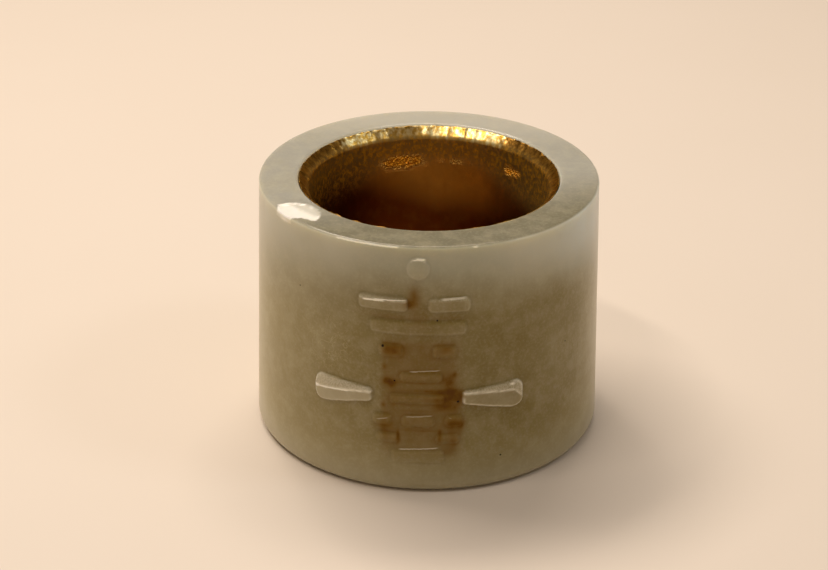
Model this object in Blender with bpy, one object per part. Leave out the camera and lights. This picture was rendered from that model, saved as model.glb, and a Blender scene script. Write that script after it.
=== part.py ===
"""A jade thumb ring with a gilt lining, standing on its foot.

Units are metres, +Z is up, and the origin is the centre of the foot that the ring stands on.
The carved front of the wall faces -Y. The ring is a thick, slightly tapered tube of jade, and the
lining is a thin metal sleeve inside it whose two ends flare out over the jade's inner edges.
"""

import math

import bmesh
import bpy

MM = 0.001

# Sizes that go all round the ring
RING_HEIGHT = 24.1 * MM
THUMB_RADIUS = 11.0 * MM
LINING_WALL = 0.5 * MM
SEAT_GAP = 0.3 * MM
JADE_WALL_AT_RIM = 3.7 * MM
JADE_WALL_AT_FOOT = 4.26 * MM

# Edges of the jade
RIM_BEVEL = 0.3 * MM
FOOT_ROUND = 0.95 * MM
MOUTH_ROUND = 0.45 * MM
MOUTH_FLARE = 0.35 * MM
MOUTH_FLARE_DEPTH = 0.9 * MM

# Flared ends of the lining
LIP_DROP = 0.38 * MM
LIP_FLARE_DEPTH = 0.95 * MM
LIP_EDGE = 0.14 * MM

# Carved band on the front: its margins, how the strokes stand out of the wall, how far they are
# rooted in it, the share of a stroke's height that each bevel takes, and the share that is left at
# a stroke's rounded end
BAND_ABOVE_FOOT = 3.1 * MM
BAND_BELOW_RIM = 0.9 * MM
STROKE_RISE = 0.36 * MM
STROKE_SIDE = 0.1 * MM
STROKE_ROOT = 0.5 * MM
STROKE_STATION = 1.1 * MM
UPPER_BEVEL_SHARE = 0.34
LOWER_BEVEL_SHARE = 0.14
BAR_END_SHARE = 0.62
BOSS_END_SHARE = 0.35

# Chip on the rim: where it is round the ring, its length along the outer edge, and how far it
# reaches in and down from that edge
CHIP_ANGLE = math.radians(-51.5)
CHIP_LENGTH = 4.8 * MM
CHIP_REACH = 2.8 * MM
CHIP_DEPTH = 0.27 * MM

# Roundness
SEGMENTS = 96
ROUND_STEPS = 4
FEWEST_STATIONS = 4
MERGE_DISTANCE = 0.001 * MM
SMOOTH_ANGLE = math.radians(30.0)

# Radii that follow from the sizes above
LINING_OUTER_RADIUS = THUMB_RADIUS + LINING_WALL
JADE_BORE_RADIUS = LINING_OUTER_RADIUS + SEAT_GAP
RIM_RADIUS = JADE_BORE_RADIUS + JADE_WALL_AT_RIM
FOOT_RADIUS = JADE_BORE_RADIUS + JADE_WALL_AT_FOOT
JADE_THROAT_RADIUS = JADE_BORE_RADIUS + MOUTH_FLARE
LIP_RADIUS = JADE_THROAT_RADIUS - SEAT_GAP
ARC_RADIUS = (RIM_RADIUS + FOOT_RADIUS) / 2

# The carved strokes, row by row from the rim down. A row has its middle and its strokes' height as
# shares of the carved band's height, and each stroke has its two ends along the wall as shares of
# RELIEF_REACH, the length along the wall from the middle of the front to the wings' tips, with the
# left side negative. The wings flare: their tips are WING_SPREAD times as high as their inner ends.
RELIEF_REACH = 9.7 * MM
BOSS_ROW = (0.945, 0.105)
BOSS_SPAN = (-0.12, 0.12)
BAR_ROWS = (
    (0.777, 0.065, ((-0.55, -0.09), (0.09, 0.49))),
    (0.664, 0.068, ((-0.44, 0.44),)),
    (0.550, 0.060, ((-0.36, -0.13), (0.13, 0.36))),
    (0.426, 0.050, ((-0.16, 0.23),)),
    (0.318, 0.052, ((-0.25, 0.25),)),
    (0.209, 0.060, ((-0.41, -0.23), (-0.14, 0.16), (0.25, 0.42))),
    (0.120, 0.050, ((-0.38, -0.16), (0.17, 0.39))),
    (0.032, 0.065, ((-0.23, 0.25),)),
)
WING_ROW = (0.305, 0.066)
WING_SPAN = (0.41, 1.0)
WING_SPREAD = 2.0


def wall_radius(height):
    """Radius of the ring's outer wall at a height above the foot."""
    share = height / RING_HEIGHT
    return FOOT_RADIUS + (RIM_RADIUS - FOOT_RADIUS) * share


def quarter_arc(centre, radii, start, steps=ROUND_STEPS):
    """Points of a quarter turn about centre, from the start angle in degrees, counterclockwise."""
    points = []
    for step in range(steps + 1):
        angle = math.radians(start + 90.0 * step / steps)
        points.append((centre[0] + radii[0] * math.cos(angle), centre[1] + radii[1] * math.sin(angle)))
    return points


def jade_profile():
    """The jade's section as (radius, height) points, up the outer wall and down the bore."""
    foot_corner = quarter_arc((FOOT_RADIUS - FOOT_ROUND, FOOT_ROUND), (FOOT_ROUND, FOOT_ROUND), -90.0)
    rim_corner = quarter_arc((RIM_RADIUS - RIM_BEVEL, RING_HEIGHT - RIM_BEVEL), (RIM_BEVEL, RIM_BEVEL), 0.0)
    mouth_centre = JADE_THROAT_RADIUS + MOUTH_ROUND
    rounding = (MOUTH_ROUND, MOUTH_ROUND)
    upper_mouth = quarter_arc((mouth_centre, RING_HEIGHT - MOUTH_ROUND), rounding, 90.0)
    lower_mouth = quarter_arc((mouth_centre, MOUTH_ROUND), rounding, 180.0)
    flare_end = MOUTH_ROUND + MOUTH_FLARE_DEPTH
    bore = [(JADE_BORE_RADIUS, RING_HEIGHT - flare_end), (JADE_BORE_RADIUS, flare_end)]
    return foot_corner + rim_corner + upper_mouth + bore + lower_mouth


def lining_profile():
    """The lining's section as (radius, height) points, up its outer side and down the thumb's side."""
    flare_radii = (LIP_RADIUS - THUMB_RADIUS, LIP_FLARE_DEPTH)
    flare_end = LIP_DROP + LIP_FLARE_DEPTH
    upper_flare = quarter_arc((LIP_RADIUS, RING_HEIGHT - flare_end), flare_radii, 90.0)
    lower_flare = quarter_arc((LIP_RADIUS, flare_end), flare_radii, 180.0)
    lip_root = LIP_DROP + LIP_EDGE
    seat_end = MOUTH_ROUND + MOUTH_FLARE_DEPTH
    outside = [
        (LIP_RADIUS, lip_root),
        (LINING_OUTER_RADIUS, seat_end),
        (LINING_OUTER_RADIUS, RING_HEIGHT - seat_end),
        (LIP_RADIUS, RING_HEIGHT - lip_root),
    ]
    return outside + upper_flare + lower_flare


def finish_object(name, bm):
    """Turn a bmesh into a smooth-shaded object of the scene."""
    bm.normal_update()
    bmesh.ops.recalc_face_normals(bm, faces=bm.faces)
    mesh = bpy.data.meshes.new(name)
    bm.to_mesh(mesh)
    bm.free()
    mesh.shade_smooth()
    mesh.set_sharp_from_angle(angle=SMOOTH_ANGLE)
    obj = bpy.data.objects.new(name, mesh)
    bpy.context.scene.collection.objects.link(obj)
    return obj


def turned_object(name, profile):
    """Spin a closed section about the ring's axis."""
    bm = bmesh.new()
    verts = [bm.verts.new((radius, 0.0, height)) for radius, height in profile]
    edges = []
    for index, vert in enumerate(verts):
        edges.append(bm.edges.new((vert, verts[(index + 1) % len(verts)])))
    bmesh.ops.spin(
        bm,
        geom=verts + edges,
        cent=(0.0, 0.0, 0.0),
        axis=(0.0, 0.0, 1.0),
        angle=2.0 * math.pi,
        steps=SEGMENTS,
        use_merge=True,
    )
    bmesh.ops.remove_doubles(bm, verts=bm.verts, dist=MERGE_DISTANCE)
    return finish_object(name, bm)


def wall_point(along, height, proud):
    """A point at an arc length along the wall from the middle of the front, proud of the wall."""
    angle = along / ARC_RADIUS
    radius = wall_radius(height) + proud
    return (radius * math.sin(angle), -radius * math.cos(angle), height)


def add_stroke(bm, middle, span, half_height):
    """Loft one stroke along the wall. half_height gives its half height at a share of its length."""
    start = span[0] * RELIEF_REACH
    end = span[1] * RELIEF_REACH
    count = max(FEWEST_STATIONS, math.ceil((end - start) / STROKE_STATION))
    loops = []
    for station in range(count + 1):
        share = (1.0 - math.cos(math.pi * station / count)) / 2
        along = start + (end - start) * share
        half = half_height(share)
        section = (
            (middle - half, -STROKE_ROOT),
            (middle - half, STROKE_SIDE),
            (middle - half + 2.0 * half * LOWER_BEVEL_SHARE, STROKE_RISE),
            (middle + half - 2.0 * half * UPPER_BEVEL_SHARE, STROKE_RISE),
            (middle + half, STROKE_SIDE),
            (middle + half, -STROKE_ROOT),
        )
        loops.append([bm.verts.new(wall_point(along, height, proud)) for height, proud in section])
    for loop, following in zip(loops, loops[1:]):
        for index in range(len(loop)):
            after = (index + 1) % len(loop)
            bm.faces.new((loop[index], loop[after], following[after], following[index]))
    bm.faces.new(loops[0])
    bm.faces.new(loops[-1])


def rounded_end(share, length, half):
    """Share of the full height that a stroke keeps near its ends, so that its corners are round."""
    corner = min(1.0, share * length / half, (1.0 - share) * length / half)
    return BAR_END_SHARE + (1.0 - BAR_END_SHARE) * math.sqrt(1.0 - (1.0 - corner) ** 2)


def carved_strokes():
    """All raised strokes of the front as one guide object, which is joined to the jade."""
    bm = bmesh.new()
    band = RING_HEIGHT - BAND_ABOVE_FOOT - BAND_BELOW_RIM

    def level(share):
        return BAND_ABOVE_FOOT + band * share

    boss_middle, boss_height = BOSS_ROW
    boss_half = boss_height * band / 2

    def boss(share):
        return boss_half * max(BOSS_END_SHARE, math.sqrt(1.0 - (2.0 * share - 1.0) ** 2))

    add_stroke(bm, level(boss_middle), BOSS_SPAN, boss)

    def bar(half, length):
        return lambda share: half * rounded_end(share, length, half)

    for row_middle, row_height, spans in BAR_ROWS:
        for span in spans:
            length = (span[1] - span[0]) * RELIEF_REACH
            add_stroke(bm, level(row_middle), span, bar(row_height * band / 2, length))

    wing_middle, wing_height = WING_ROW
    inner_half = wing_height * band / 2
    wing_length = (WING_SPAN[1] - WING_SPAN[0]) * RELIEF_REACH

    def wing(share):
        flared = inner_half * (1.0 + (WING_SPREAD - 1.0) * share)
        return flared * rounded_end(0.5 + share / 2, wing_length, flared)

    add_stroke(bm, level(wing_middle), WING_SPAN, wing)
    mirrored = (-WING_SPAN[1], -WING_SPAN[0])
    add_stroke(bm, level(wing_middle), mirrored, lambda share: wing(1.0 - share))
    return guide_object("carved_strokes", bm)


def chip_cutter():
    """A flattened ball centred on the rim's outer edge, where it scoops out the chip."""
    bm = bmesh.new()
    bmesh.ops.create_uvsphere(bm, u_segments=4 * ROUND_STEPS, v_segments=2 * ROUND_STEPS, radius=1.0)
    for vert in bm.verts:
        radius = RIM_RADIUS + vert.co.x * CHIP_REACH
        angle = CHIP_ANGLE + vert.co.y * CHIP_LENGTH / 2 / RIM_RADIUS
        height = vert.co.z * CHIP_DEPTH
        vert.co = (radius * math.sin(angle), -radius * math.cos(angle), RING_HEIGHT + height)
    return guide_object("rim_chip", bm)


def guide_object(name, bm):
    """An object that only shapes the jade and isn't part of the ring."""
    guide = finish_object(name, bm)
    guide.hide_render = True
    guide.display_type = "WIRE"
    return guide


def add_boolean(obj, guide, operation):
    """Join a guide to an object, or cut it out of the object."""
    modifier = obj.modifiers.new(guide.name, "BOOLEAN")
    modifier.operation = operation
    modifier.object = guide
    modifier.solver = "EXACT"


def make_material(name, colour, roughness, metallic):
    """A Principled material with a part's colour, roughness and metallic value."""
    material = bpy.data.materials.new(name)
    material.use_nodes = True
    shader = material.node_tree.nodes["Principled BSDF"]
    shader.inputs["Base Color"].default_value = (*colour, 1.0)
    shader.inputs["Roughness"].default_value = roughness
    shader.inputs["Metallic"].default_value = metallic
    material.diffuse_color = (*colour, 1.0)
    return material


def clear_scene():
    """Remove the objects that a new scene starts with."""
    for obj in list(bpy.data.objects):
        bpy.data.objects.remove(obj, do_unlink=True)


def build_jade():
    """The jade tube with its raised strokes and the chip on its rim."""
    jade = turned_object("jade_ring", jade_profile())
    jade.data.materials.append(make_material("jade", (0.42, 0.37, 0.26), 0.3, 0.0))
    add_boolean(jade, carved_strokes(), "UNION")
    add_boolean(jade, chip_cutter(), "DIFFERENCE")
    return jade


def build_lining():
    """The gilt sleeve inside the jade."""
    lining = turned_object("gold_lining", lining_profile())
    lining.data.materials.append(make_material("gilt", (0.83, 0.58, 0.16), 0.3, 1.0))
    return lining


clear_scene()
build_jade()
build_lining()
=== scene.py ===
# %% [markdown]
# # A jade thumb ring
# The ring is a short, thick tube of pale jade that stands on end, with a thin gilt sleeve in its hole.
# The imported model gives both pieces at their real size. This lesson dresses them: the jade gets a fine
# mesh with the carving, the chip and the hand-worn edges, the sleeve gets its hammered lip, and both
# get materials that are worked out by nodes. All shapes are worked out in millimetres and turned into
# metres when their mesh is made.

import math
from types import SimpleNamespace

import bpy
import numpy as np
from mathutils import Matrix, Vector, noise


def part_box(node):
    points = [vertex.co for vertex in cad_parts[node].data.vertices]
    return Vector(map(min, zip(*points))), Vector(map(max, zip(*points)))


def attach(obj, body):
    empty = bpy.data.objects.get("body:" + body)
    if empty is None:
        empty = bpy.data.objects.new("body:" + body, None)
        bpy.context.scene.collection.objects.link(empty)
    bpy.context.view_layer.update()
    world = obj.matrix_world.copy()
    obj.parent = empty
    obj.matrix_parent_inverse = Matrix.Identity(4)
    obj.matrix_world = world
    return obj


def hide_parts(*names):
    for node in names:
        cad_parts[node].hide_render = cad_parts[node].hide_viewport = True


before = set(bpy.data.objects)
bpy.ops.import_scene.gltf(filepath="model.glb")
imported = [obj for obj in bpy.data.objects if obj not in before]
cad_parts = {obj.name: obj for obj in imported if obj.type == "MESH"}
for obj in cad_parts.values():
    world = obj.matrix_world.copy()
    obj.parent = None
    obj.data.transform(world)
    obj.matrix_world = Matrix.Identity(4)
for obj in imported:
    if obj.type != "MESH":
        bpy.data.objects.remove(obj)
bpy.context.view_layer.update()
print("packed nodes:", sorted(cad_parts))

# %% [markdown]
# ## Sizes
# The frame knows how tall and how wide each piece is, so those sizes are read from it. A box can't tell
# how a section runs inside it, so the other radii are named here: the rim is a little narrower than the
# foot, and both ends of the hole open out. The mouth and the sleeve's lip are a quarter of a millimetre
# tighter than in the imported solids, and nearly flush with the rim, as the picture shows them.

# %% Sizes of the jade and the sleeve, in millimetres
MM = 0.001

jade_low, jade_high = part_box("jade_ring")
lining_low, lining_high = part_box("gold_lining")
HEIGHT = jade_high.z / MM
FOOT_RADIUS = jade_high.x / MM
RIM_RADIUS = 15.5
THROAT_RADIUS = 11.92
JADE_BORE_RADIUS = 11.8
THUMB_RADIUS = 11.0
LINING_WALL = 0.5
FOOT_ROUND = 0.95
RIM_BEVEL = 0.3
MOUTH_ROUND = 0.34
MOUTH_FLARE_DEPTH = 1.0
ARC_RADIUS = (RIM_RADIUS + FOOT_RADIUS) / 2
print(f"jade: {HEIGHT:.2f} mm high, {2 * FOOT_RADIUS:.2f} mm across the foot")
print(f"lining: {(lining_high.z - lining_low.z) / MM:.2f} mm high")

# %% [markdown]
# ## A ring of quads
# Both pieces are turned shapes with something carved or hammered into them. A Screw modifier would turn
# a section, but the marks differ from one angle to the next, so the mesh is made as a grid: each row is
# a point of the closed section, each column an angle round the ring, and a grid point can be moved on
# its own. The columns are close together where the carving is and further apart elsewhere.

# %% Helpers for grids
def smooth(low, high, value):
    """0 below low, 1 above high, and an easy curve between them."""
    share = np.clip((value - low) / (high - low), 0.0, 1.0)
    return share * share * (3.0 - 2.0 * share)


def arc(centre, radii, start, end, steps):
    """Section points along an arc, with its angles in degrees."""
    angles = np.radians(np.linspace(start, end, steps + 1))
    return np.stack([centre[0] + radii[0] * np.cos(angles), centre[1] + radii[1] * np.sin(angles)], axis=1)


def line(first, last, step):
    """Section points from the first up to the last, which is left to the next stretch."""
    first = np.array(first, float)
    last = np.array(last, float)
    count = max(1, round(np.linalg.norm(last - first) / step))
    shares = np.arange(1, count)[:, None] / count
    return first + (last - first) * shares


def grid_points(radius, height, angle):
    """Points at each radius, height and angle; angle 0 is the front, -Y, and it grows to the right."""
    return np.stack([radius * np.sin(angle), -radius * np.cos(angle), height], axis=-1)


def spread(section, angles):
    """A section's radii and heights, and the angles, each as a grid of rows and columns."""
    ones = np.ones((len(section), len(angles)))
    return section[:, :1] * ones, section[:, 1:] * ones, angles * ones


def lumps(points, size, seed):
    """Smooth noise, about -1 to 1, with lumps of about size millimetres. Each seed gives other noise."""
    shift = Vector((17.3 * seed, 5.1 * seed, 9.7 * seed))
    flat = points.reshape(-1, 3) / size
    values = [noise.noise(Vector(point) + shift) for point in flat]
    return np.array(values).reshape(points.shape[:-1])


def uneven(points, height_and_size, seed):
    """Lumps of a height and a size, both in millimetres."""
    height, size = height_and_size
    return height * lumps(points, size, seed)


def layered(points, sizes, seed):
    """Lumps of one size with smaller ones, half as strong, over them. They take two seeds."""
    coarse, fine = sizes
    return lumps(points, coarse, seed) + 0.5 * lumps(points, fine, seed + 1)


def grown(start_and_growth, share):
    """A value that starts somewhere and grows with a share from 0 to 1."""
    start, growth = start_and_growth
    return start + growth * share


def ring_object(name, points, marks, closed=True):
    """A ring of quads from a grid of points, with the marks kept as values on its points."""
    rows, columns, _ = points.shape
    here = np.arange(rows * columns).reshape(rows, columns)
    after = np.roll(here, -1, axis=0)
    faces = np.stack([here, np.roll(here, -1, axis=1), np.roll(after, -1, axis=1), after], axis=-1)
    faces = faces if closed else faces[:-1]
    mesh = bpy.data.meshes.new(name)
    mesh.from_pydata((points * MM).reshape(-1, 3).tolist(), [], faces.reshape(-1, 4).tolist())
    mesh.shade_smooth()
    for mark, values in marks.items():
        layer = mesh.attributes.new(mark, "FLOAT", "POINT")
        layer.data.foreach_set("value", values.astype(np.float32).ravel())
    piece = bpy.data.objects.new(name, mesh)
    bpy.context.scene.collection.objects.link(piece)
    print(f"{name}: {rows} rows x {columns} columns, {faces.size // 2} triangles")
    return piece


# %% [markdown]
# ## The carving
# The front of the real ring carries a raised inscription. Its place is taken here by rows of plain
# strokes that aren't letters: a boss, bars and two flared wings. Each stroke is a low plateau. A distance
# function says how far a point of the wall is inside the stroke's outline, and the height grows from
# that distance: a short steep side all round, a wide ground bevel along the top edge that catches the
# light, a crest, and a face that leans back down to the lower edge. A height field like this keeps
# crisp crests without cutting the mesh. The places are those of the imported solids; the first row and
# the wings are drawn a little finer. Heights are shares of the carved band, and ends are shares of the
# wings' reach. A wing's corner and bevels have a value at its inner end and what they grow by outwards.

# %% The strokes' places
BAND_LOW = 3.1
BAND_HIGH = HEIGHT - 0.9
REACH = 9.7
BAR_CORNER = 0.45
BOSS = (0.945, 0.105, -0.12, 0.12)
BAR_ROWS = (
    (0.773, 0.070, ((-0.55, -0.09), (0.09, 0.48))),
    (0.664, 0.068, ((-0.44, 0.44),)),
    (0.550, 0.060, ((-0.36, -0.13), (0.13, 0.36))),
    (0.426, 0.050, ((-0.16, 0.23),)),
    (0.318, 0.052, ((-0.25, 0.25),)),
    (0.209, 0.060, ((-0.41, -0.23), (-0.14, 0.16), (0.25, 0.42))),
    (0.120, 0.050, ((-0.38, -0.16), (0.17, 0.39))),
    (0.032, 0.065, ((-0.23, 0.25),)),
)
WING_ROW = (0.305, 0.066)
WING_INNER = 0.41
WING_FULL = 0.88
WING_SPREAD = 2.0
WING_LIFT = 0.38
WING_CORNER = (0.3, 0.55)
LEFT_BEVEL = (0.27, 0.19)
RIGHT_BEVEL = (0.16, 0.15)
RIGHT_TIP_BEVEL = 0.3
print("strokes:", 1 + sum(len(spans) for _, _, spans in BAR_ROWS) + 2)

# %% [markdown]
# Each stroke has a look: how far it rises, how wide its bevel is, how much its face drops, how wide its
# lower side is, and how much of it is frosted, pale, or given a painted highlight along its crest and its
# lower edge. The upper strokes are bold; further down they fade into the wall. The shaded looks, for the
# strokes on the right, are less pale and have a weaker crest highlight, as painted shade.

# %% The strokes' looks
BOLD = {
    "rise": 0.28, "bevel": 0.34, "drop": 0.6, "ramp": 0.4,
    "frost": 0.3, "crest": 0.25, "pale": 0.3, "edge": 0.04,
}
SHADED = {**BOLD, "rise": 0.22, "bevel": 0.28, "frost": 0.5, "crest": 0.0, "pale": 0.2, "edge": 0.12}
FAINT = {
    "rise": 0.15, "bevel": 0.26, "drop": 0.55, "ramp": 0.5,
    "frost": 0.0, "crest": 0.0, "pale": 0.0, "edge": 0.0,
}
EDGED = {**FAINT, "rise": 0.16, "ramp": 0.3, "pale": 0.06, "edge": 0.08}
LINED = {**FAINT, "bevel": 0.1}
WING = {
    "rise": 0.35, "drop": 0.35, "ramp": 0.2,
    "frost": 0.75, "crest": 0.95, "pale": 1.15, "edge": 0.3,
}
SHADED_WING = {**WING, "crest": 0.7, "pale": 0.55, "edge": 0.7}
ROW_LOOKS = (
    (BOLD, SHADED), (EDGED,), (FAINT, FAINT), (LINED,),
    (FAINT,), (LINED, LINED, LINED), (FAINT, FAINT), (LINED,),
)
print("rows of bars:", len(ROW_LOOKS))

# %% Sizes that all strokes share
DOME_RISE = 0.26
# The dome's arc and edge, the crest and the edge lines are painted highlights.
DOME_LINE = (0.15, 0.08)
DOME_UPPER = (0.45, 0.9)
DOME_EDGE = 0.07
DOME_PALE = 0.06
CREST_WIDTH = 0.09
CREST_LEAST = 0.3
FROST_FADE = 0.06
LOWER_HALF = (0.35, 0.75)
WING_ENDS = (0.87 * REACH, 0.95 * REACH)
EDGE_RAMP = 0.16
EDGE_STEP = 0.3
EDGE_LINE = (0.12, 0.09)
HOLLOW_WIDTH = 0.22
MARK_FADE = 0.14
OUTLINE_WAVER = 0.04
TOP_WAVER = 0.03


def level(share):
    """Height above the foot of a share of the carved band."""
    return BAND_LOW + (BAND_HIGH - BAND_LOW) * share


def thickness(share):
    """Half of a stroke's height, from its share of the carved band."""
    return (BAND_HIGH - BAND_LOW) * share / 2


def bell(distance, width):
    """1 at no distance, fading evenly to both sides over a width."""
    return np.exp(-((distance / width) ** 2))


def outline_distance(along, up, start, end, middle, half, corner):
    """Distance outside a rounded bar's outline, negative inside it."""
    beside = np.abs(along - (start + end) / 2) - ((end - start) / 2 - corner)
    above = np.abs(up - middle) - (half - corner)
    outside = np.hypot(np.maximum(beside, 0.0), np.maximum(above, 0.0))
    return outside + np.minimum(np.maximum(beside, above), 0.0) - corner


# %% One stroke
class Carving:
    """The heights and marks that all strokes leave on a grid of points of the wall."""

    def __init__(self, along, up, wobble, grain):
        self.along = along
        self.up = up
        self.wobble = wobble
        # worn breaks up the painted highlights along the crests and edges.
        self.worn = np.clip(0.85 + 0.6 * grain, CREST_LEAST, 1.0)
        self.height = np.zeros_like(up)
        self.marks = {name: np.zeros_like(up) for name in ("frost", "crest", "pale", "hollow")}

    def mark(self, name, values):
        """Keep the strongest mark where strokes lie close together."""
        self.marks[name] = np.maximum(self.marks[name], values)

    def add(self, start, end, middle, half, corner, look, bevel):
        """Raise one stroke. half and bevel may change along it."""
        distance = outline_distance(self.along, self.up, start, end, middle, half, corner)
        distance = distance + OUTLINE_WAVER * self.wobble
        inside = distance < 0.0
        from_top = middle + half - self.up + TOP_WAVER * self.wobble
        share = np.clip(from_top / (2.0 * half), 0.0, 1.0)
        side = np.clip(-distance / (EDGE_RAMP + (look["ramp"] - EDGE_RAMP) * share), 0.0, 1.0)
        top = EDGE_STEP + (1.0 - EDGE_STEP) * np.clip(from_top / bevel, 0.0, 1.0)
        face = 1.0 - look["drop"] * np.clip((from_top - bevel) / (2.0 * half - bevel), 0.0, 1.0)
        rise = look["rise"] * np.minimum(side, np.minimum(top, face))
        self.height = np.maximum(self.height, np.where(inside, rise, 0.0))
        within = smooth(0.0, MARK_FADE, -distance)
        above_crest = 1.0 - smooth(-FROST_FADE, FROST_FADE, from_top - bevel)
        self.mark("frost", look["frost"] * within * above_crest)
        # Painted highlights along the crest, and along the lower edge and the far ends.
        crest = bell(from_top - bevel, CREST_WIDTH) * within
        self.mark("crest", look["crest"] * crest * self.worn)
        far_end = smooth(*WING_ENDS, np.abs(self.along))
        inset, width = EDGE_LINE
        edge = bell(distance + inset, width) * np.maximum(smooth(*LOWER_HALF, share), far_end)
        self.mark("crest", look["edge"] * edge * self.worn)
        self.mark("pale", look["pale"] * within)
        # The hollow mark lies just outside the stroke: painted shade goes there, and a little more stain.
        self.mark("hollow", bell(np.maximum(distance, 0.0), HOLLOW_WIDTH) * ~inside)

    def add_dome(self, middle_along, middle_up, size):
        """Raise the round boss, with a painted highlight arc near its top and a faint one on its edge."""
        distance = np.hypot(self.along - middle_along, self.up - middle_up) - size
        distance = distance + OUTLINE_WAVER * self.wobble
        share = np.clip(-distance / size, 0.0, 1.0)
        self.height = np.maximum(self.height, DOME_RISE * np.sqrt(1.0 - (1.0 - share) ** 2))
        upper = smooth(*DOME_UPPER, (self.up - middle_up) / size)
        inset, width = DOME_LINE
        self.mark("crest", bell(distance + inset, width) * upper * self.worn)
        inset, width = EDGE_LINE
        self.mark("crest", DOME_EDGE * bell(distance + inset, width))
        self.mark("pale", DOME_PALE * smooth(0.0, MARK_FADE, -distance))


# %% All strokes
def carve(along, up, wobble, grain):
    """All strokes of the front, row by row from the rim down."""
    carving = Carving(along, up, wobble, grain)
    share, high, start, end = BOSS
    carving.add_dome((start + end) / 2 * REACH, level(share), thickness(high))
    for (share, high, spans), looks in zip(BAR_ROWS, ROW_LOOKS):
        half = thickness(high)
        corner = min(BAR_CORNER, 0.9 * half)
        for (start, end), look in zip(spans, looks):
            carving.add(start * REACH, end * REACH, level(share), half, corner, look, look["bevel"])
    share, high = WING_ROW
    inner = thickness(high)
    flare = np.clip((np.abs(along) / REACH - WING_INNER) / (WING_FULL - WING_INNER), 0.0, 1.0)
    half = inner * (1.0 + (WING_SPREAD - 1.0) * flare)
    middle = level(share) + WING_LIFT * (1.0 - flare)
    corner = grown(WING_CORNER, flare)
    left_bevel = 2.0 * half * grown(LEFT_BEVEL, flare)
    tip = smooth(WING_FULL * REACH, REACH, along)
    right_bevel = 2.0 * half * (grown(RIGHT_BEVEL, flare) + RIGHT_TIP_BEVEL * tip)
    carving.add(-REACH, -WING_INNER * REACH, middle, half, corner, WING, left_bevel)
    carving.add(WING_INNER * REACH, REACH, middle, half, corner, SHADED_WING, right_bevel)
    return carving


# %% [markdown]
# ## The jade
# The tube's section runs up the outer wall, over a small bevel, across the flat rim, round the mouth and
# down the bore. The front gets the finest columns, and three rows lie close together where the first
# row's crest catches the light.

# %% Section and angles of the jade
FINE_START = -66.0
FINE_END = 41.0
FINE_STEP = 0.36
COARSE_STEP = 2.0
WALL_STEP = 0.125
RIM_STEP = 0.2
FOOT_STEP = 0.8
CREST_ROWS = (-0.07, 0.0, 0.07)
ROW_CLEARANCE = 0.05


def wall_rows(low, high):
    """Rows up the outer wall, with three of them close together at the first row's crest."""
    count = round((high[1] - low[1]) / WALL_STEP)
    heights = np.linspace(low[1], high[1], count + 1)[1:-1]
    share, tall, _ = BAR_ROWS[0]
    close = level(share) + thickness(tall) - BOLD["bevel"] + np.array(CREST_ROWS)
    clear = np.min(np.abs(heights[:, None] - close), axis=1) > ROW_CLEARANCE
    heights = np.sort(np.concatenate([heights[clear], close]))
    share = (heights - low[1]) / (high[1] - low[1])
    return np.stack([low[0] + (high[0] - low[0]) * share, heights], axis=1)


def jade_section():
    """The jade's section as (radius, height) rows, and which of them are on the outer wall."""
    foot = arc((FOOT_RADIUS - FOOT_ROUND, FOOT_ROUND), (FOOT_ROUND, FOOT_ROUND), -90, 0, steps=8)
    rim = arc((RIM_RADIUS - RIM_BEVEL, HEIGHT - RIM_BEVEL), (RIM_BEVEL, RIM_BEVEL), 0, 90, steps=5)
    mouth_radius = THROAT_RADIUS + MOUTH_ROUND
    rounding = (MOUTH_ROUND, MOUTH_ROUND)
    upper_mouth = arc((mouth_radius, HEIGHT - MOUTH_ROUND), rounding, 90, 180, steps=6)
    lower_mouth = arc((mouth_radius, MOUTH_ROUND), rounding, 180, 270, steps=6)
    flare_end = MOUTH_ROUND + MOUTH_FLARE_DEPTH
    bore = np.array([(JADE_BORE_RADIUS, HEIGHT - flare_end), (JADE_BORE_RADIUS, flare_end)])
    wall = wall_rows(foot[-1], rim[0])
    rim_flat = line(rim[-1], upper_mouth[0], RIM_STEP)
    foot_flat = line(lower_mouth[-1], foot[0], FOOT_STEP)
    parts = [foot, wall, rim, rim_flat, upper_mouth, bore, lower_mouth, foot_flat]
    section = np.concatenate(parts)
    on_wall = np.zeros(len(section), bool)
    on_wall[len(foot):len(foot) + len(wall)] = True
    return section, on_wall


def jade_angles():
    """Angles of the columns, fine over the front and the chip."""
    fine = np.arange(FINE_START, FINE_END, FINE_STEP)
    turn_end = 360.0 + FINE_START
    coarse = np.linspace(FINE_END, turn_end, round((turn_end - FINE_END) / COARSE_STEP) + 1)
    return np.radians(np.concatenate([fine, coarse[:-1]]))


print("jade section:", len(jade_section()[0]), "rows,", len(jade_angles()), "columns")

# %% [markdown]
# ## The chip
# A flake has broken away from the rim's outer edge at the front left. A Boolean would cut a clean shell;
# a height field can be ragged. The outline is a polygon along the rim and inward from it, and the points
# inside it are lowered. The unevenness of its edge and floor is given as heights and sizes. The chip's
# floor is made nearly white, most of all near the outer edge.

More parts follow.
